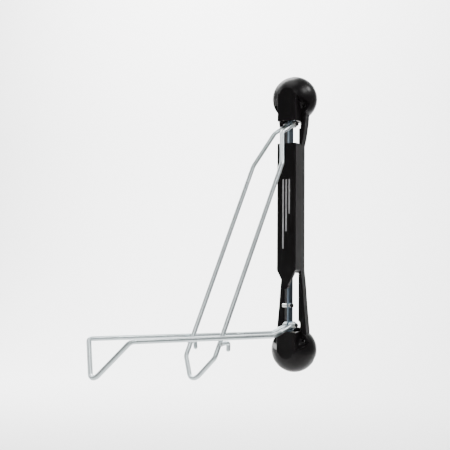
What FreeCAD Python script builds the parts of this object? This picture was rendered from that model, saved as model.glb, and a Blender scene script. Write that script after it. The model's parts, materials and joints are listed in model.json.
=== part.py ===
import FreeCAD
import Part
import math
import os

# Wall rack that holds a bicycle upright by one wheel. Millimetres.
# A black moulded housing screws to the wall by its two round ends. A flat steel bar inside it
# turns about a vertical axis, and two bent wire arms hinge on bolts near the ends of the bar.
# Everything is built with the swing axis on Z and the arms pointing to -Y, then moved so that
# the wall is the plane Y = 0. The swinging parts are turned by swing_rest on the way out.

V = FreeCAD.Vector
X_AXIS = V(1, 0, 0)
Y_AXIS = V(0, 1, 0)
Z_AXIS = V(0, 0, 1)

# Driving dimensions
wall_gap = 51.0              # swing axis to the wall
swing_rest = -18.5           # turn of the bar and arms about Z as the rack is shown
running_gap = 0.3            # between faces of parts that move past each other
fit_gap = 0.05               # radial clearance of a pin in its bush

ball_r = 47.1                # round ends
ball_y = 22.3                # ball centre behind the swing axis
ball_z = 262.8               # ball centre above and below the middle
shell_t = 3.5                # moulded wall
plate_t = 8.0                # wall plate, the rear slice of each ball
dimple_r = 20.0              # shallow groove in each ball, at the outer rear
dimple_depth = 2.5
dimple_at = V(37.4, 20.7, 19.0)      # from the ball's centre

case_half = 21.0             # half width of the central casing and of the necks
case_front = 21.5            # front face ahead of the swing axis
case_back = 28.7             # back of the casing behind the swing axis
case_top = 163.7
beak_z = -137.0              # tip of the tapered front
beak_edge = [(21.0, -98.0), (14.2, -111.0), (8.8, -121.5), (4.6, -130.0)]    # its half outline
beak_t = 9.0                 # front wall left below the casing body
case_open = -104.0           # end of the casing body behind the front wall
case_open_back = -112.0      # and at the back
corner_r = 2.0
neck_top_edge = 210.7        # lower edge of the upper neck
neck_low_edge = -224.5       # upper edge of the lower neck
neck_back = 19.6             # back of a neck behind the swing axis

leg_in = 15.5
leg_front = 6.2
leg_round = 2.0
leg_top = [(20.9, 160.5), (25.2, 178.0), (30.0, 211.0), (32.0, 236.0)]      # outer X against height
leg_low = [(20.9, -95.0), (24.8, -129.0), (28.2, -174.0), (32.8, -222.0), (33.5, -238.0)]
sweep_r = 22.2               # space that the ends of the pivot bolts turn in
sweep_half = 9.0
sweep_round = 7.0

screw_x = 28.5               # wall screws, each side of the middle
screw_drop = 19.0            # towards the middle from the ball centre
screw_r = 3.5
screw_post_r = 7.5
pocket_ceiling = 12.0        # pocket roof, this far from the ball centre at its back wall
pocket_front = 20.0          # and level with the ball centre this far ahead of the back wall
pocket_deep = 5.0            # back of the pockets, behind the swing axis
core_r = 36.5                # round back wall of the pockets
core_at = V(10.0, 30.0, 0)

bar_t = 4.4
bar_w = 14.0
pivot_top = 205.0
pivot_low = -211.7
bolt_r = 3.0
eye_r = 7.6
eye_bore = 4.5
eye_x = 7.0                  # middle of a wire eye from the bar's middle
wire_r = 4.5
washer_t = 1.5
head_t = 4.5
cap_t = 3.6

flange_start = 9.4           # beyond the pivot, where the pivot pin's flange begins
flange_t = 4.0
flange_r = 9.0
pin_r = 5.0
pin_len = 23.0
bush_r = 7.5
bush_flange_r = 9.5
bush_flange_t = 2.0
bush_len = 18.0
block_end = 252.0            # the block round each bush ends here
neck_rise = 5.0              # a neck's corners run on this far past the ball's centre

stop_z = -171.5
stop_y = -3.5
stop_r = 4.5

hook_r = 4.0
cover_t = 3.0
cover_low = -94.5
cover_screw_x = 14.0
cover_screw_z = (-88.0, 145.0)
small_screw_r = 1.6

# Wire arms: corner points of the right-hand half, and the bend radius at each
upper_points = [V(eye_x, 0, pivot_top), V(10.0, -37.5, 184.0), V(40.2, -69.8, 114.8),
                V(40.0, -250.3, -265.4), V(0, -272.2, -314.6)]
upper_bends = [12.0, 14.0, 12.0, 17.0]
lower_points = [V(eye_x, 0, pivot_low), V(9.5, -42.7, -227.0), V(49.0, -105.0, -229.5),
                V(59.5, -464.6, -227.2), V(0, -502.1, -298.2)]
lower_bends = [12.0, 14.0, 10.0, 14.0]


def cylinder(radius, start, along, length):
    return Part.makeCylinder(radius, length, start, along)


def box(x0, x1, y0, y1, z0, z1):
    return Part.makeBox(x1 - x0, y1 - y0, z1 - z0, V(x0, y0, z0))


def mirrored(shape):
    return shape.mirror(V(0, 0, 0), X_AXIS)


def ball_shape(radius, up):
    """Sphere about a ball's centre, with its poles to the front and back, where it is cut off."""
    sphere = Part.makeSphere(radius, V(0, 0, 0), Y_AXIS)
    sphere.rotate(V(0, 0, 0), Y_AXIS, 38.0 * up)
    sphere.translate(ball_centre(up))
    return sphere


def both_sides(shape):
    return [shape, mirrored(shape)]


def fused(shapes):
    first = shapes[0]
    return first.fuse(shapes[1:]).removeSplitter()


def hexagon(across, start, along, length):
    """A hexagonal prism, across its flats, from start along a direction."""
    radius = across / math.sqrt(3.0)
    corners = [V(radius * math.cos(math.radians(60 * k)), radius * math.sin(math.radians(60 * k)), 0)
               for k in range(7)]
    prism = Part.Face(Part.makePolygon(corners)).extrude(V(0, 0, length))
    prism.Placement = FreeCAD.Placement(start, FreeCAD.Rotation(Z_AXIS, along))
    return prism


def rounded_section(x0, x1, y0, y1, z, radius):
    """A rectangle in a level plane with its corners rounded, as a closed wire."""
    c = radius * (1 - math.sqrt(0.5))
    edges = [
        Part.LineSegment(V(x0 + radius, y0, z), V(x1 - radius, y0, z)),
        Part.Arc(V(x1 - radius, y0, z), V(x1 - c, y0 + c, z), V(x1, y0 + radius, z)),
        Part.LineSegment(V(x1, y0 + radius, z), V(x1, y1 - radius, z)),
        Part.Arc(V(x1, y1 - radius, z), V(x1 - c, y1 - c, z), V(x1 - radius, y1, z)),
        Part.LineSegment(V(x1 - radius, y1, z), V(x0 + radius, y1, z)),
        Part.Arc(V(x0 + radius, y1, z), V(x0 + c, y1 - c, z), V(x0, y1 - radius, z)),
        Part.LineSegment(V(x0, y1 - radius, z), V(x0, y0 + radius, z)),
        Part.Arc(V(x0, y0 + radius, z), V(x0 + c, y0 + c, z), V(x0 + radius, y0, z)),
    ]
    return Part.Wire([edge.toShape() for edge in edges])


def column(half, y0, y1, z0, z1, radius):
    """An upright bar with a rounded rectangular section."""
    section = rounded_section(-half, half, y0, y1, z0, radius)
    return Part.Face(section).extrude(V(0, 0, z1 - z0))


def ball_centre(up):
    return V(0, ball_y, up * ball_z)


def round_end(up):
    """Ball with its front sliced off level with the casing's front face."""
    ball = ball_shape(ball_r, up)
    return ball.cut(box(-80, 80, -80, -case_front, -400, 400))


def neck(up):
    """Upright block that joins a ball to the bar's pivot, rounded at its front corners."""
    edge = neck_top_edge if up > 0 else neck_low_edge
    low, high = sorted((edge, up * (ball_z + neck_rise)))
    return column(case_half, -case_front, neck_back, low, high, corner_r)


def neck_hollow(up):
    """Space at a neck's open end, for the flange of the pivot pin and the arm's eyes."""
    edge = neck_top_edge if up > 0 else neck_low_edge
    inner = case_half - shell_t
    low, high = sorted((edge - up * 1.0, seat(up) + up * bush_flange_t))
    return column(inner, -case_front + shell_t, neck_back - shell_t, low, high, corner_r)


def far_circle(disc, up):
    """The end edge of an upright disc that is nearest the middle of the rack."""
    rings = [edge for edge in disc.Edges if isinstance(edge.Curve, Part.Circle)]
    return min(rings, key=lambda edge: up * edge.Curve.Center.z)


def wire_sweep():
    """Room for the lower arm's wires over the lower ball: a shallow cone about the swing axis."""
    outline = [V(0, 0, neck_low_edge), V(20.0, 0, neck_low_edge), V(43.0, 0, -232.9), V(60, 0, -233.4),
               V(60, 0, -190), V(0, 0, -190)]
    cone = Part.Face(Part.makePolygon(outline + outline[:1])).revolve(V(0, 0, 0), Z_AXIS, 360)
    return cone.common(box(-80, 80, -80, leg_front - 0.5, -240, -195))


def ball_hollow(up):
    """Inside of a ball, leaving the wall, the block round the bush and the pocket walls."""
    hollow = ball_shape(ball_r - shell_t, up)
    low, high = sorted((0, up * block_end))
    block = box(-case_half + 1, case_half - 1, -80, neck_back - 1, low, high)
    front = box(-80, 80, -80, -case_front + shell_t, -400, 400)
    return hollow.cut([block, front] + both_sides(pocket(up, shell_t)))


def leg(outline):
    """One leg: short lofts between level sections, from inside the casing out to a ball."""
    sections = [rounded_section(leg_in, x, leg_front, case_back, z, leg_round) for x, z in outline]
    pieces = [Part.makeLoft([low, high], True, True) for low, high in zip(sections, sections[1:])]
    return fused(pieces)


def casing_body():
    """Central casing: a column whose front runs down to a rounded beak, cut back behind it."""
    post = column(case_half, -case_front, case_back, beak_z - 5, case_top, corner_r)
    right = [V(x, -60, z) for x, z in beak_edge]
    left = [V(-p.x, -60, p.z) for p in right]
    sides = [V(case_half, -60, case_top)] + right
    edges = [Part.LineSegment(a, b).toShape() for a, b in zip(sides, sides[1:])]
    edges.append(Part.Arc(right[-1], V(0, -60, beak_z), left[-1]).toShape())
    sides = left[::-1] + [V(-case_half, -60, case_top), V(case_half, -60, case_top)]
    edges += [Part.LineSegment(a, b).toShape() for a, b in zip(sides, sides[1:])]
    front = Part.Face(Part.Wire(edges)).extrude(V(0, 120, 0))
    body = post.common(front)
    step = -case_front + beak_t
    outline = [V(-60, step, case_open), V(-60, leg_front, case_open_back), V(-60, 60, case_open_back),
               V(-60, 60, beak_z - 10), V(-60, step, beak_z - 10)]
    rear = Part.Face(Part.makePolygon(outline + outline[:1])).extrude(V(120, 0, 0))
    return body.cut(rear)


def casing_hollow():
    """Space inside the casing, closed at the top but for a round hole that the bar turns in."""
    inner = case_half - shell_t
    front = -case_front + shell_t
    main = box(-inner, inner, front, case_back + 1, case_open + 4, case_top - shell_t)
    lower = box(-inner, inner, -case_front + beak_t, case_back + 1, case_open_back - 5, 0)
    hole = cylinder(bar_w / 2 + 3.0, V(0, 0, case_top - 10), Z_AXIS, 20)
    return [main, lower, hole]


def pocket(up, grow):
    """Cutter for the screw pocket beside a neck: a roof that slopes up to the front, and a round
    back wall. It is made larger all round by grow, to leave a wall round it."""
    slope = pocket_ceiling / pocket_front
    roof = -pocket_ceiling + grow * (math.hypot(1, slope) - slope)
    reach = 45.0
    deep = pocket_deep + grow
    outline = [(deep, roof - slope * (deep - grow)), (grow - reach, roof + slope * reach),
               (grow - reach, -70), (deep, -70)]
    corners = [V(case_half - grow, y, up * (ball_z + z)) for y, z in outline]
    prism = Part.Face(Part.makePolygon(corners + corners[:1])).extrude(V(50, 0, 0))
    core = Part.makeSphere(core_r - grow)
    core.rotate(V(0, 0, 0), X_AXIS, 71.0 * up)
    core.translate(V(core_at.x, core_at.y, up * ball_z))
    return prism.cut(core)


def screw_post(up):
    """Post behind the back wall of a pocket, for one wall screw."""
    start = V(screw_x, pocket_deep + 1.0, up * (ball_z - screw_drop))
    return cylinder(screw_post_r, start, Y_AXIS, wall_gap - plate_t - start.y)


def screw_hole(up):
    return cylinder(screw_r, V(screw_x, -10, up * (ball_z - screw_drop)), Y_AXIS, 80)


def seat(up):
    """Height at which the flange of a bush starts, outward from the pivot."""
    pivot = pivot_top if up > 0 else pivot_low
    return pivot + up * (flange_start + flange_t + washer_t + running_gap)


def dimple(up):
    """Cutter for the shallow groove across the outer rear of a ball."""
    away = V(dimple_at.x, dimple_at.y, up * dimple_at.z).normalize()
    along = V(-dimple_at.y, dimple_at.x, 0).normalize()
    middle = ball_centre(up) + away * (ball_r + dimple_r - dimple_depth)
    return cylinder(dimple_r, middle - along * 40, along, 80)


def cover_post(z):
    return cylinder(3.6, V(cover_screw_x, 9.0, z), Y_AXIS, case_back - cover_t - 9.0)


def main_housing():
    """Balls, necks, legs and casing as one moulding, hollow, open at the back of each ball."""
    outside = [casing_body()]
    inside = casing_hollow()
    pockets = []
    added = []
    bores = []
    for up in (1, -1):
        ball = round_end(up)
        outside += [ball, neck(up)]
        inside += [ball_hollow(up), neck_hollow(up)]
        pockets += both_sides(pocket(up, 0.0))
        added += both_sides(screw_post(up).common(ball))
        added += screw_bosses(up)
        bores.append(cylinder(bush_r, V(0, 0, seat(up) - up), Z_AXIS * up, bush_flange_t + bush_len + 1))
        bores.append(cylinder(bush_r - 1, V(0, 0, seat(up)), Z_AXIS * up, bush_flange_t + bush_len + 9))
        bores += both_sides(screw_hole(up))
        bores += both_sides(dimple(up))
        pivot = pivot_top if up > 0 else pivot_low
        edge = neck_top_edge if up > 0 else neck_low_edge
        sweep = cylinder(sweep_r, V(0, 0, edge), Z_AXIS * -up, abs(edge - pivot + up * sweep_half))
        bores.append(sweep.makeFillet(sweep_round, [far_circle(sweep, up)]))
        for place in plate_screw_places():
            start = V(place.x, 14.0, up * (ball_z + place.z))
            bores.append(cylinder(small_screw_r, start, Y_AXIS, 60))
    bores.append(wire_sweep())
    for z in cover_screw_z:
        added += both_sides(cover_post(z))
        bores += both_sides(cylinder(small_screw_r, V(cover_screw_x, 12.0, z), Y_AXIS, 30))
    legs = both_sides(leg(leg_top)) + both_sides(leg(leg_low))
    rest = box(-80, 80, wall_gap - plate_t, 100, -400, 400)
    shell = fused(outside).cut(pockets).cut(inside)
    shell = shell.fuse(legs + added)
    return shell.cut(bores + [rest])


def plate_screw_places():
    return [V(16.0, 0, 24.0), V(-16.0, 0, 24.0), V(0, 0, -32.0)]


def wall_plate(up):
    """Rear slice of a ball, with the wall screw holes and counterbored holes for its own screws."""
    ball = ball_shape(ball_r, up)
    plate = ball.common(box(-80, 80, wall_gap - plate_t, wall_gap, -400, 400))
    cuts = []
    cuts += both_sides(screw_hole(up))
    cuts += both_sides(dimple(up))
    for place in plate_screw_places():
        start = V(place.x, 0, up * (ball_z + place.z))
        cuts.append(cylinder(small_screw_r, start, Y_AXIS, 80))
        cuts.append(cylinder(3.4, start + V(0, wall_gap - 3.0, 0), Y_AXIS, 10))
    return plate.cut(cuts)


def pan_screw(head, length, radius, head_r, head_h):
    """A small screw driven towards -Y: pan head with a cross slot, and its shank."""
    top = cylinder(head_r, head, Y_AXIS, head_h)
    shank = cylinder(radius, head - V(0, length, 0), Y_AXIS, length)
    slot = box(-head_r, head_r, 0, head_h, -0.4, 0.4)
    slot.translate(head + V(0, head_h * 0.5, 0))
    cross = box(-0.4, 0.4, 0, head_h, -head_r, head_r)
    cross.translate(head + V(0, head_h * 0.5, 0))
    return top.fuse(shank).cut([slot, cross])


def plate_screws():
    """Screws that hold the two wall plates to the housing."""
    screws = []
    for up in (1, -1):
        for place in plate_screw_places():
            head = V(place.x, wall_gap - 3.0, up * (ball_z + place.z))
            screws.append(pan_screw(head, 14.0, small_screw_r, 3.1, 2.2))
    return screws


def screw_bosses(up):
    """Posts inside a ball that take the screws of its wall plate."""
    ball = ball_shape(ball_r - 0.5, up)
    posts = []
    for place in plate_screw_places():
        front = -40.0 if place.x else neck_back - 4.0
        start = V(place.x, front, up * (ball_z + place.z))
        post = cylinder(4.2, start, Y_AXIS, wall_gap - plate_t - front)
        posts.append(post.common(ball))
    return posts


def rear_cover():
    inner = case_half - shell_t - 0.2
    plate = box(-inner, inner, case_back - cover_t, case_back, cover_low, case_top - shell_t - 0.2)
    cuts = []
    for z in cover_screw_z:
        cuts += both_sides(cylinder(small_screw_r, V(cover_screw_x, 0, z), Y_AXIS, 60))
    for k in range(-4, 7):
        groove = box(-inner + 4, inner - 4, case_back - 0.8, case_back + 1, 20 * k - 1.0, 20 * k + 1.0)
        cuts.append(groove)
    return plate.cut(cuts)


def cover_screws():
    screws = []
    for z in cover_screw_z:
        for side in (1, -1):
            screws.append(pan_screw(V(side * cover_screw_x, case_back, z), 12.0, small_screw_r, 2.9, 1.8))
    return screws


def bush(up):
    """Flanged bush that a pivot pin turns in."""
    start = V(0, 0, seat(up))
    along = V(0, 0, up)
    body = cylinder(bush_r, start, along, bush_flange_t + bush_len)
    rim = cylinder(bush_flange_r, start, along, bush_flange_t)
    bore = cylinder(pin_r + fit_gap, start - along, along, bush_flange_t + bush_len + 2)
    return body.fuse(rim).cut(bore)


def flange_base(up):
    pivot = pivot_top if up > 0 else pivot_low
    return V(0, 0, pivot + up * flange_start)


def pivot_pin(up):
    """Upright pin with a flange, welded on the end of the bar."""
    along = V(0, 0, up)
    start = flange_base(up)
    rim = cylinder(flange_r, start, along, flange_t)
    shaft = cylinder(pin_r, start, along, flange_t + pin_len)
    cone = Part.makeCone(pin_r, pin_r - 1.2, 1.2, start + along * (flange_t + pin_len), along)
    return rim.fuse([shaft, cone]).removeSplitter()


def thrust_washer(up):
    along = V(0, 0, up)
    start = flange_base(up) + along * flange_t
    ring = cylinder(bush_flange_r, start, along, washer_t)
    return ring.cut(cylinder(pin_r, start - along, along, washer_t + 2))


def swing_bar():
    """Flat steel bar between the two pins, drilled for the pivot bolts and the stop bolt."""
    low = flange_base(-1).z
    high = flange_base(1).z
    bar = box(-bar_t / 2, bar_t / 2, -bar_w / 2, bar_w / 2, low, high)
    bar = bar.makeFillet(0.8, [e for e in bar.Edges if abs(e.tangentAt(e.FirstParameter).z) > 0.9])
    holes = [cylinder(bolt_r, V(-10, 0, z), X_AXIS, 20) for z in (pivot_top, pivot_low)]
    holes.append(cylinder(2.5, V(-10, stop_y, stop_z), X_AXIS, 20))
    return bar.cut(holes)


def stack_start():
    """Distance from the middle to the inner face of the outer washers on a pivot bolt."""
    return eye_x + wire_r + running_gap


def pivot_bolt(z):
    """Cross bolt with a hexagon head on the left; its thread end stands past the nut."""
    outer = stack_start() + washer_t
    head = hexagon(9.0, V(-outer - head_t, 0, z), X_AXIS, head_t)
    shank = cylinder(bolt_r, V(-outer, 0, z), X_AXIS, 2 * outer + head_t + cap_t - 1.6)
    crown = Part.makeSphere(9.5, V(-outer - head_t + 9.0, 0, z))
    return head.common(crown).fuse(shank)


def pivot_nut(z):
    outer = stack_start() + washer_t
    nut = hexagon(9.0, V(outer, 0, z), X_AXIS, head_t)
    crown = Part.makeSphere(9.5, V(outer + head_t - 9.0, 0, z))
    return nut.common(crown).cut(cylinder(bolt_r, V(outer - 1, 0, z), X_AXIS, head_t + 2))


def pivot_washers(z):
    rings = []
    for side in (1, -1):
        start = V(side * stack_start(), 0, z)
        ring = cylinder(5.6, start, X_AXIS * side, washer_t)
        rings.append(ring.cut(cylinder(bolt_r, start - X_AXIS * side, X_AXIS * side, washer_t + 2)))
    return rings


def bolt_cap(z, y, start, bore, radius, length):
    """Black push-on cap with a domed end, over the end of a bolt."""
    body = cylinder(radius, V(start, y, z), X_AXIS, length)
    dome = Part.makeSphere(length + 1.2, V(start - 1.2, y, z))
    body = body.common(dome)
    return body.cut(cylinder(bore, V(start - 1, y, z), X_AXIS, length - 0.6))


def stop_bolt():
    head = cylinder(stop_r, V(-15.0, stop_y, stop_z), X_AXIS, 3.0)
    slot = box(-16.0, -14.0, stop_y - 5, stop_y + 5, stop_z - 0.6, stop_z + 0.6)
    shank = cylinder(2.5, V(-12.0, stop_y, stop_z), X_AXIS, 22.0)
    return head.cut(slot).fuse(shank)


def stop_spacer():
    tube = cylinder(stop_r, V(-12.0, stop_y, stop_z), X_AXIS, 12.0 - bar_t / 2)
    return tube.cut(cylinder(2.5, V(-13.0, stop_y, stop_z), X_AXIS, 14))


def stop_nut():
    nut = hexagon(8.6, V(bar_t / 2, stop_y, stop_z), X_AXIS, 5.0)
    return nut.cut(cylinder(2.5, V(0, stop_y, stop_z), X_AXIS, 14))


def arc_path(points, radii):
    """Straight runs joined by tangent arcs of the given radii at the inner points."""
    edges = []
    last = points[0]
    for before, here, after, radius in zip(points, points[1:], points[2:], radii):
        into = (here - before).normalize()
        out = (after - here).normalize()
        turn = into.getAngle(out)
        reach = radius * math.tan(turn / 2)
        start = here - into * reach
        end = here + out * reach
        inward = (out - into).normalize()
        middle = here + inward * (radius / math.cos(turn / 2) - radius)
        edges.append(Part.LineSegment(last, start).toShape())
        edges.append(Part.Arc(start, middle, end).toShape())
        last = end
    edges.append(Part.LineSegment(last, points[-1]).toShape())
    return Part.Wire(edges)


def round_rod(points, radii, radius):
    path = arc_path(points, radii)
    along = (points[1] - points[0]).normalize()
    ring = Part.Wire([Part.makeCircle(radius, points[0], along)])
    return path.makePipeShell([ring], True, False)


def wire_arm(half_points, half_bends, pivot):
    """A bent wire arm, mirrored about its middle, with a drilled eye at each end."""
    flip = [V(-p.x, p.y, p.z) for p in half_points[:-1]]
    points = half_points + flip[::-1]
    bends = half_bends + half_bends[:-1][::-1]
    rod = round_rod(points, bends, wire_r)
    eyes = both_sides(cylinder(eye_r, V(eye_x - wire_r, 0, pivot), X_AXIS, 2 * wire_r))
    bores = both_sides(cylinder(eye_bore, V(eye_x - 10, 0, pivot), X_AXIS, 20))
    inner = box(-bar_t / 2 - running_gap, bar_t / 2 + running_gap, -30, 30, pivot - 30, pivot + 30)
    outer = [box(stack_start() - running_gap, 40, -12, 12, pivot - 12, pivot + 12)]
    outer.append(mirrored(outer[0]))
    return rod.fuse(eyes).cut([inner] + outer + bores).removeSplitter()


def eye_bushes(pivot):
    """Plastic sleeves between the wire eyes and the pivot bolt."""
    sleeves = []
    for side in (1, -1):
        start = V(side * (eye_x - wire_r), 0, pivot)
        tube = cylinder(eye_bore, start, X_AXIS * side, 2 * wire_r)
        bore = cylinder(bolt_r + fit_gap, start - X_AXIS * side, X_AXIS * side, 2 * wire_r + 2)
        sleeves.append(tube.cut(bore))
    return sleeves


def hook(arm):
    """Rod welded behind an upper arm wire: it runs out under the lower arm and turns down."""
    points = [V(40.5, -240.5, -241.0), V(49.0, -231.0, -238.4), V(46.5, -221.5, -238.6),
              V(45.5, -221.0, -251.0)]
    rod = round_rod(points, [4.5, 4.5], hook_r)
    tip = Part.makeSphere(hook_r, points[-1])
    return rod.fuse(tip).cut(arm).removeSplitter()


def export(name, shapes, swings):
    """Move a node's solids to the wall frame and write them as one file."""
    group = shapes if isinstance(shapes, list) else [shapes]
    solids = []
    for shape in group:
        moved = shape.copy()
        if swings:
            moved.rotate(V(0, 0, 0), Z_AXIS, swing_rest)
        moved.translate(V(0, -wall_gap, 0))
        solids += moved.Solids
    Part.makeCompound(solids).exportStep(f"parts/{name}.step")
    volume = sum(solid.Volume for solid in solids)
    print(name, len(solids), "solids", round(volume), "mm3", all(s.isValid() for s in solids))


def main():
    os.makedirs("parts", exist_ok=True)
    export("main_housing", main_housing(), False)
    export("top_wall_plate", wall_plate(1), False)
    export("bottom_wall_plate", wall_plate(-1), False)
    export("plate_screws", plate_screws(), False)
    export("rear_cover", rear_cover(), False)
    export("cover_screws", cover_screws(), False)
    for up, place in ((1, "top"), (-1, "bottom")):
        export(place + "_bush", bush(up), False)
        export(place + "_thrust_washer", thrust_washer(up), True)
        export(place + "_pivot_pin", pivot_pin(up), True)
    export("swing_bar", swing_bar(), True)
    for name, z in (("upper", pivot_top), ("lower", pivot_low)):
        export(name + "_pivot_bolt", pivot_bolt(z), True)
        export(name + "_pivot_nut", pivot_nut(z), True)
        export(name + "_pivot_washers", pivot_washers(z), True)
        cap_start = stack_start() + washer_t + head_t
        export(name + "_bolt_cap", bolt_cap(z, 0, cap_start, bolt_r, 4.3, cap_t), True)
        export(name + "_eye_bushes", eye_bushes(z), True)
    export("stop_bolt", stop_bolt(), True)
    export("stop_spacer", stop_spacer(), True)
    export("stop_nut", stop_nut(), True)
    export("stop_cap", bolt_cap(stop_z, stop_y, bar_t / 2 + 5.0, 2.5, 4.0, 4.4), True)
    upper = wire_arm(upper_points, upper_bends, pivot_top)
    lower = wire_arm(lower_points, lower_bends, pivot_low)
    export("upper_arm_wire", upper, True)
    export("lower_arm_wire", lower, True)
    export("right_hook", hook(upper), True)
    export("left_hook", mirrored(hook(upper)), True)


main()
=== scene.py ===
import json
import math

import bmesh
import bpy
import numpy as np
from mathutils import Matrix, Vector


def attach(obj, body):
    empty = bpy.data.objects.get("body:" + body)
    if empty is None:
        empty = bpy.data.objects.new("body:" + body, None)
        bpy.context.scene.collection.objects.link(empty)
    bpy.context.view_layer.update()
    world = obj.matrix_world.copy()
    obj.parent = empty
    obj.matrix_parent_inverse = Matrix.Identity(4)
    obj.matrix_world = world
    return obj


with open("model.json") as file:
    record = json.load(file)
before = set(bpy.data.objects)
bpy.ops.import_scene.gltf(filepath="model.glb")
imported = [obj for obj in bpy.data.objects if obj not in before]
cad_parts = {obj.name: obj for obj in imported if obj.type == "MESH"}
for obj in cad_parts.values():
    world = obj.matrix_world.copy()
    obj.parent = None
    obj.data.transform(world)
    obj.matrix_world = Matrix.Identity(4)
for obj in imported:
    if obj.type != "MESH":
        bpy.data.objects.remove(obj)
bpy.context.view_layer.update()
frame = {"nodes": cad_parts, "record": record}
print("frame loaded:", len(frame["nodes"]), "nodes")

# rest direction of the swinging bar and arms, and where their upright axis stands
swing = {"turn": math.radians(-18.5), "axisY": -0.051}


def swingToWall(points):
    # a turn about the upright swing axis, then a shift back to the wall frame
    points = np.asarray(points, dtype=float)
    c, s = math.cos(swing["turn"]), math.sin(swing["turn"])
    x = c * points[..., 0] - s * points[..., 1]
    y = s * points[..., 0] + c * points[..., 1] + swing["axisY"]
    return np.stack([x, y, points[..., 2]], axis=-1)


def gridFaces(rows, columns, closeColumns):
    # quads of a grid of rows by columns, as index arrays; the columns may join up round a loop
    last = columns if closeColumns else columns - 1
    i, j = np.meshgrid(np.arange(rows - 1), np.arange(last), indexing="ij")
    k = (j + 1) % columns
    quads = [i * columns + j, i * columns + k, (i + 1) * columns + k, (i + 1) * columns + j]
    return np.stack(quads, axis=-1).reshape(-1, 4)


weldDistance = 1e-7


def makePiece(name, vertices, faces, material, body):
    mesh = bpy.data.meshes.new(name)
    mesh.from_pydata(np.asarray(vertices).reshape(-1, 3).tolist(), [], [list(f) for f in faces])
    shape = bmesh.new()
    shape.from_mesh(mesh)
    bmesh.ops.remove_doubles(shape, verts=shape.verts, dist=weldDistance)
    bmesh.ops.recalc_face_normals(shape, faces=shape.faces)
    shape.to_mesh(mesh)
    shape.free()
    mesh.polygons.foreach_set("use_smooth", [True] * len(mesh.polygons))
    piece = bpy.data.objects.new(name, mesh)
    bpy.context.scene.collection.objects.link(piece)
    mesh.materials.append(material)
    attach(piece, body)
    return piece


def ringSurface(centre, axis, major, minor, wobble, ripples, rows=72, columns=14):
    # a torus whose tube thickness ripples round the ring, as a run of weld metal does
    centre, axis = np.asarray(centre, dtype=float), np.asarray(axis, dtype=float)
    axis = axis / np.linalg.norm(axis)
    helper = np.array([0, 0, 1.0]) if abs(axis[2]) < 0.9 else np.array([1.0, 0, 0])
    u = np.cross(axis, helper)
    u /= np.linalg.norm(u)
    v = np.cross(axis, u)
    a, b = np.meshgrid(np.linspace(0, 2 * math.pi, rows, endpoint=False),
                       np.linspace(0, 2 * math.pi, columns, endpoint=False), indexing="ij")
    tube = minor * (1 + wobble * np.sin(ripples * a))
    out = (np.cos(a)[..., None] * u + np.sin(a)[..., None] * v)
    vertices = centre + out * (major + tube * np.cos(b))[..., None] + axis * (tube * np.sin(b))[..., None]
    faces = gridFaces(rows, columns, True)
    closing = np.stack([(rows - 1) * columns + np.arange(columns),
                        (rows - 1) * columns + (np.arange(columns) + 1) % columns,
                        (np.arange(columns) + 1) % columns, np.arange(columns)], axis=-1)
    return vertices, np.concatenate([faces, closing])


def newMaterial(name, colour, rough, metal=0.0):
    material = bpy.data.materials.new(name)
    material.use_nodes = True
    shader = material.node_tree.nodes["Principled BSDF"]
    shader.inputs["Base Color"].default_value = (*colour, 1)
    shader.inputs["Roughness"].default_value = rough
    shader.inputs["Metallic"].default_value = metal
    return material, material.node_tree, shader


def noiseField(tree, scale, detail, stretch=(1, 1, 1)):
    # noise in the object's own coordinates, stretched along an axis where asked
    place = tree.nodes.new("ShaderNodeTexCoord")
    shift = tree.nodes.new("ShaderNodeMapping")
    shift.inputs["Scale"].default_value = stretch
    noise = tree.nodes.new("ShaderNodeTexNoise")
    noise.inputs["Scale"].default_value = scale
    noise.inputs["Detail"].default_value = detail
    tree.links.new(place.outputs["Object"], shift.inputs["Vector"])
    tree.links.new(shift.outputs["Vector"], noise.inputs["Vector"])
    return noise.outputs["Fac"]


fieldMiddle = (0.3, 0.7)


def spread(tree, field, low, high):
    # the middle range of the noise mapped to low..high
    ramp = tree.nodes.new("ShaderNodeMapRange")
    for key, value in (("From Min", fieldMiddle[0]), ("From Max", fieldMiddle[1]), ("To Min", low),
                       ("To Max", high)):
        ramp.inputs[key].default_value = value
    tree.links.new(field, ramp.inputs["Value"])
    return ramp.outputs["Result"]


def blendColours(tree, factor, first, second):
    mix = tree.nodes.new("ShaderNodeMix")
    mix.data_type = "RGBA"
    mix.inputs["A"].default_value = (*first, 1)
    mix.inputs["B"].default_value = (*second, 1)
    tree.links.new(factor, mix.inputs["Factor"])
    return mix.outputs["Result"]


def bump(tree, shader, field, strength, distance):
    node = tree.nodes.new("ShaderNodeBump")
    node.inputs["Strength"].default_value = strength
    node.inputs["Distance"].default_value = distance
    tree.links.new(field, node.inputs["Height"])
    tree.links.new(node.outputs["Normal"], shader.inputs["Normal"])


def mouldedPlastic(name, settings):
    # satin black: a fine spark-eroded grain, slow changes of sheen and a little dust in the colour
    material, tree, shader = newMaterial(name, settings["dark"], settings["rough"])
    cloud = noiseField(tree, settings["cloudScale"], settings["cloudDetail"])
    tree.links.new(blendColours(tree, spread(tree, cloud, 0, 1), settings["dark"], settings["light"]),
                   shader.inputs["Base Color"])
    sheen = noiseField(tree, settings["sheenScale"], settings["sheenDetail"])
    low, high = settings["rough"] - settings["less"], settings["rough"] + settings["more"]
    tree.links.new(spread(tree, sheen, low, high), shader.inputs["Roughness"])
    grain = noiseField(tree, settings["grainScale"], settings["grainDetail"])
    bump(tree, shader, grain, settings["grain"], settings["depth"])
    shader.inputs["Specular IOR Level"].default_value = settings["specular"]
    return material


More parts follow.
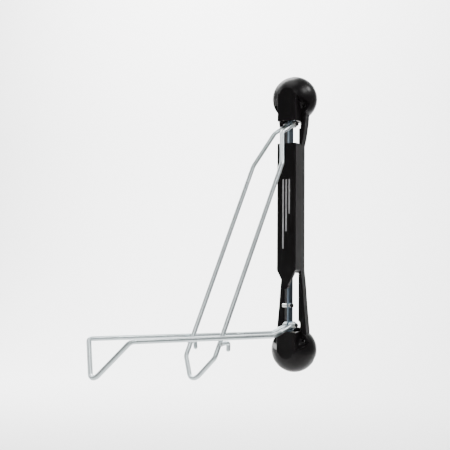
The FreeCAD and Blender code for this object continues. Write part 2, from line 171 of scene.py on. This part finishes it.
def zincPlate(name, settings):
    # bright zinc: slow cloudy changes of colour, fine changes of sheen and a very low grain; the stretch
    # draws the marks out along one axis
    material, tree, shader = newMaterial(name, settings["light"], settings["rough"], 1.0)
    cloud = noiseField(tree, settings["cloudScale"], settings["cloudDetail"], settings["stretch"])
    tree.links.new(blendColours(tree, spread(tree, cloud, 0, 1), settings["dark"], settings["light"]),
                   shader.inputs["Base Color"])
    streak = noiseField(tree, settings["streakScale"], settings["streakDetail"], settings["stretch"])
    tree.links.new(spread(tree, streak, settings["rough"] - settings["change"],
                           settings["rough"] + settings["change"]),
                   shader.inputs["Roughness"])
    bump(tree, shader, streak, settings["grain"], settings["depth"])
    return material


blackSettings = {"dark": (0.0030, 0.0024, 0.0026), "light": (0.0052, 0.0042, 0.0046), "rough": 0.34,
                 "cloudScale": 14.0, "sheenScale": 38.0, "grainScale": 1900.0, "grain": 0.08,
                 "cloudDetail": 3.0, "sheenDetail": 5.0, "grainDetail": 2.0, "depth": 0.0002, "less": 0.05,
                 "more": 0.07, "specular": 0.15}
capSettings = dict(blackSettings, rough=0.5, grain=0.05, dark=(0.005, 0.005, 0.0055),
                   light=(0.009, 0.009, 0.010))
nylonSettings = dict(blackSettings, rough=0.45, dark=(0.55, 0.54, 0.49), light=(0.68, 0.67, 0.62))
wireSettings = {"dark": (0.54, 0.605, 0.62), "light": (0.64, 0.70, 0.71), "rough": 0.30, "change": 0.035,
                "cloudScale": 16.0, "streakScale": 420.0, "stretch": (1, 1, 1), "grain": 0.004,
                "cloudDetail": 5.0, "streakDetail": 6.0,
                "depth": 0.00015}
barSettings = {"dark": (0.17, 0.22, 0.27), "light": (0.31, 0.37, 0.42), "rough": 0.36,
               "change": 0.09, "cloudScale": 30.0, "streakScale": 420.0, "stretch": (1, 1, 0.08),
               "grain": 0.12, "cloudDetail": 5.0, "streakDetail": 6.0,
                "depth": 0.00015}
screwSettings = {"dark": (0.50, 0.51, 0.50), "light": (0.72, 0.72, 0.70), "rough": 0.27, "change": 0.07,
                 "cloudScale": 90.0, "streakScale": 700.0, "stretch": (1, 1, 1),
                 "grain": 0.12, "cloudDetail": 5.0, "streakDetail": 6.0,
                "depth": 0.00015}
weldSettings = dict(screwSettings, dark=(0.34, 0.36, 0.37), light=(0.58, 0.60, 0.60), rough=0.38)
markSettings = dict(screwSettings, dark=(0.42, 0.42, 0.43), light=(0.55, 0.55, 0.56), rough=0.5, grain=0.03)

finishes = {
    "black_plastic": mouldedPlastic("satinBlackHousing", blackSettings),
    "cap_plastic": mouldedPlastic("softBlackCaps", capSettings),
    "nylon": mouldedPlastic("naturalNylon", nylonSettings),
    "wire_steel": zincPlate("brightZincRod", wireSettings),
    "bar_steel": zincPlate("blueGreyBar", barSettings),
    "screw_steel": zincPlate("zincFasteners", screwSettings),
}
weldMetal = zincPlate("platedWeld", weldSettings)
silverInk = zincPlate("silverInk", markSettings)
print("materials made:", len(bpy.data.materials))

slots = {part["node"]: part["material_slot"] for part in frame["record"]["subparts"]}
for node, thing in frame["nodes"].items():
    thing.data.materials.clear()
    thing.data.materials.append(finishes[slots[node]])
print("CAD nodes finished")


# front mark: three slim rounded bars printed on the housing
mark = {"lengths": (0.144, 0.108, 0.072), "gap": 0.0068, "half": 0.0015, "thick": 0.00025, "top": 0.089,
        "around": 40, "faceY": -0.0215, "sunk": 0.00005,
        "edge": ((0.0, 0.0), (0.0, 0.8), (0.15, 1.0), (0.6, 1.02), (1.0, 1.02))}


def roundedBar(x, low, high, half, y, thick):
    # a stadium outline in a level plane pushed out by its thickness, with a slightly raised middle
    angle = np.linspace(0, 2 * math.pi, mark["around"], endpoint=False)
    straight = (high - low) / 2 - half
    px = x + half * np.cos(angle)
    pz = (low + high) / 2 + half * np.sin(angle) + np.where(np.sin(angle) >= 0, straight, -straight)
    middleX, middleZ = np.full_like(px, x), np.clip(pz, low + half, high - half)
    rings = []
    for blend, depth in mark["edge"]:
        rings.append(np.stack([px + (middleX - px) * blend, np.full_like(px, y - thick * depth),
                               pz + (middleZ - pz) * blend], axis=-1))
    return np.stack(rings), gridFaces(len(rings), len(angle), True)


faceY = swing["axisY"] + mark["faceY"]
vertexSets, faceSets, count = [], [], 0
for number, length in enumerate(mark["lengths"]):
    bar, faces = roundedBar((number - 1) * mark["gap"], mark["top"] - length, mark["top"], mark["half"],
                            faceY + mark["sunk"], mark["thick"])
    vertexSets.append(bar.reshape(-1, 3))
    faceSets.append(faces + count)
    count += len(vertexSets[-1])
makePiece("front_mark", np.concatenate(vertexSets), np.concatenate(faceSets), silverInk, "casing")
print("front mark made")


# weld beads where each hook meets its wire
weld = {"start": (0.0405, -0.2405, -0.2410), "next": (0.0490, -0.2310, -0.2384), "reach": 0.0050,
        "major": 0.0041, "minor": 0.0011, "wobble": 0.16, "ripples": 11}


def hookWeld(name, side):
    # a rippled ring round the hook, just outside the wire
    mirror = np.array([side, 1.0, 1.0])
    start, beyond = np.array(weld["start"]) * mirror, np.array(weld["next"]) * mirror
    along = (beyond - start) / np.linalg.norm(beyond - start)
    vertices, faces = ringSurface(start + along * weld["reach"], along, weld["major"], weld["minor"],
                                  weld["wobble"], weld["ripples"])
    makePiece(name, swingToWall(vertices), faces, weldMetal, "upper_arm")


hookWeld("right_hook_weld", 1)
hookWeld("left_hook_weld", -1)
print("weld beads made")


stage = {"low": -0.62, "front": -6, "bendY": 2.2, "bend": 1.6, "top": 6.0, "left": -8, "right": 0.9,
         "colour": (0.93, 0.93, 0.93), "rough": 0.9, "flatRows": 12, "bendRows": 40, "columns": 9}


def makeFloor():
    # a level sheet that bends up through a quarter circle behind the rack, the profile carried sideways
    t = np.linspace(0, 1, stage["bendRows"]) * math.pi / 2
    flat = np.linspace(stage["front"], stage["bendY"], stage["flatRows"])
    bendY, bend = stage["bendY"], stage["bend"]
    profileY = np.concatenate([flat, bendY + bend * np.sin(t), [bendY + bend]])
    profileZ = np.concatenate([np.zeros(len(flat)), bend * (1 - np.cos(t)), [stage["top"]]]) + stage["low"]
    x = np.linspace(stage["left"], stage["right"], stage["columns"])
    shape = (len(profileY), len(x))
    grid = np.stack([np.broadcast_to(x[None, :], shape), np.broadcast_to(profileY[:, None], shape),
                     np.broadcast_to(profileZ[:, None], shape)], axis=-1)
    mesh = bpy.data.meshes.new("paleFloor")
    mesh.from_pydata(grid.reshape(-1, 3).tolist(), [], gridFaces(len(profileY), len(x), False).tolist())
    mesh.polygons.foreach_set("use_smooth", [True] * len(mesh.polygons))
    floor = bpy.data.objects.new("paleFloor", mesh)
    bpy.context.scene.collection.objects.link(floor)
    mesh.materials.append(newMaterial("paleFloor", stage["colour"], stage["rough"])[0])
    return floor


makeFloor()
print("floor made")


def softLight(name, place, target, size, power):
    lamp = bpy.data.lights.new(name, "AREA")
    lamp.shape = "RECTANGLE"
    lamp.size, lamp.size_y = size
    lamp.energy = power
    holder = bpy.data.objects.new(name, lamp)
    bpy.context.scene.collection.objects.link(holder)
    holder.location = place
    holder.rotation_euler = (Vector(target) - Vector(place)).to_track_quat("-Z", "Y").to_euler()


# name, place, what it points at, size across and up, power
lights = [("keyLight", (1.70, -0.36, 1.46), (0, -0.05, 0.05), (0.7, 0.7), 24),
          ("pocketLight", (1.00, 0.42, 1.13), (0, -0.04, -0.26), (0.28, 0.28), 9),
          ("leftLight", (-2.6, -0.7, 1.3), (0, -0.2, 0), (1.0, 2.0), 18),
          ("topLight", (-0.3, -0.5, 2.5), (0, -0.2, 0), (1.4, 1.4), 26),
          ("frontLight", (1.2, -3.4, 1.8), (0, -0.2, 0), (0.9, 0.9), 34),
          ("backLight", (-2.2, 1.4, 2.6), (-2.2, 3.7, 0.1), (3.4, 2.0), 620)]
for name, place, target, size, power in lights:
    softLight(name, place, target, size, power)

roomStrength = 0.32
world = bpy.data.worlds.new("paleRoom")
world.use_nodes = True
world.node_tree.nodes["Background"].inputs["Color"].default_value = (1, 1, 1, 1)
world.node_tree.nodes["Background"].inputs["Strength"].default_value = roomStrength
bpy.context.scene.world = world

view = {"place": (0.8098, -1.8949, -0.1285), "azimuth": math.radians(27.57), "pitch": math.radians(3.49),
        "roll": math.radians(0.46), "lens": 77.5, "sensor": 36}


def makeCamera():
    az, ph, roll = view["azimuth"], view["pitch"], view["roll"]
    forward = Vector((-math.sin(az) * math.cos(ph), math.cos(az) * math.cos(ph), math.sin(ph)))
    right = Vector((math.cos(az), math.sin(az), 0))
    up = right.cross(forward)
    right, up = right * math.cos(roll) + up * math.sin(roll), up * math.cos(roll) - right * math.sin(roll)
    lens = bpy.data.cameras.new("camera")
    lens.lens = view["lens"]
    lens.sensor_width = view["sensor"]
    camera = bpy.data.objects.new("camera", lens)
    camera.matrix_world = Matrix(((right.x, up.x, -forward.x, view["place"][0]),
                                  (right.y, up.y, -forward.y, view["place"][1]),
                                  (right.z, up.z, -forward.z, view["place"][2]), (0, 0, 0, 1)))
    bpy.context.scene.collection.objects.link(camera)
    bpy.context.scene.camera = camera


makeCamera()
print("stage, lights and camera made")
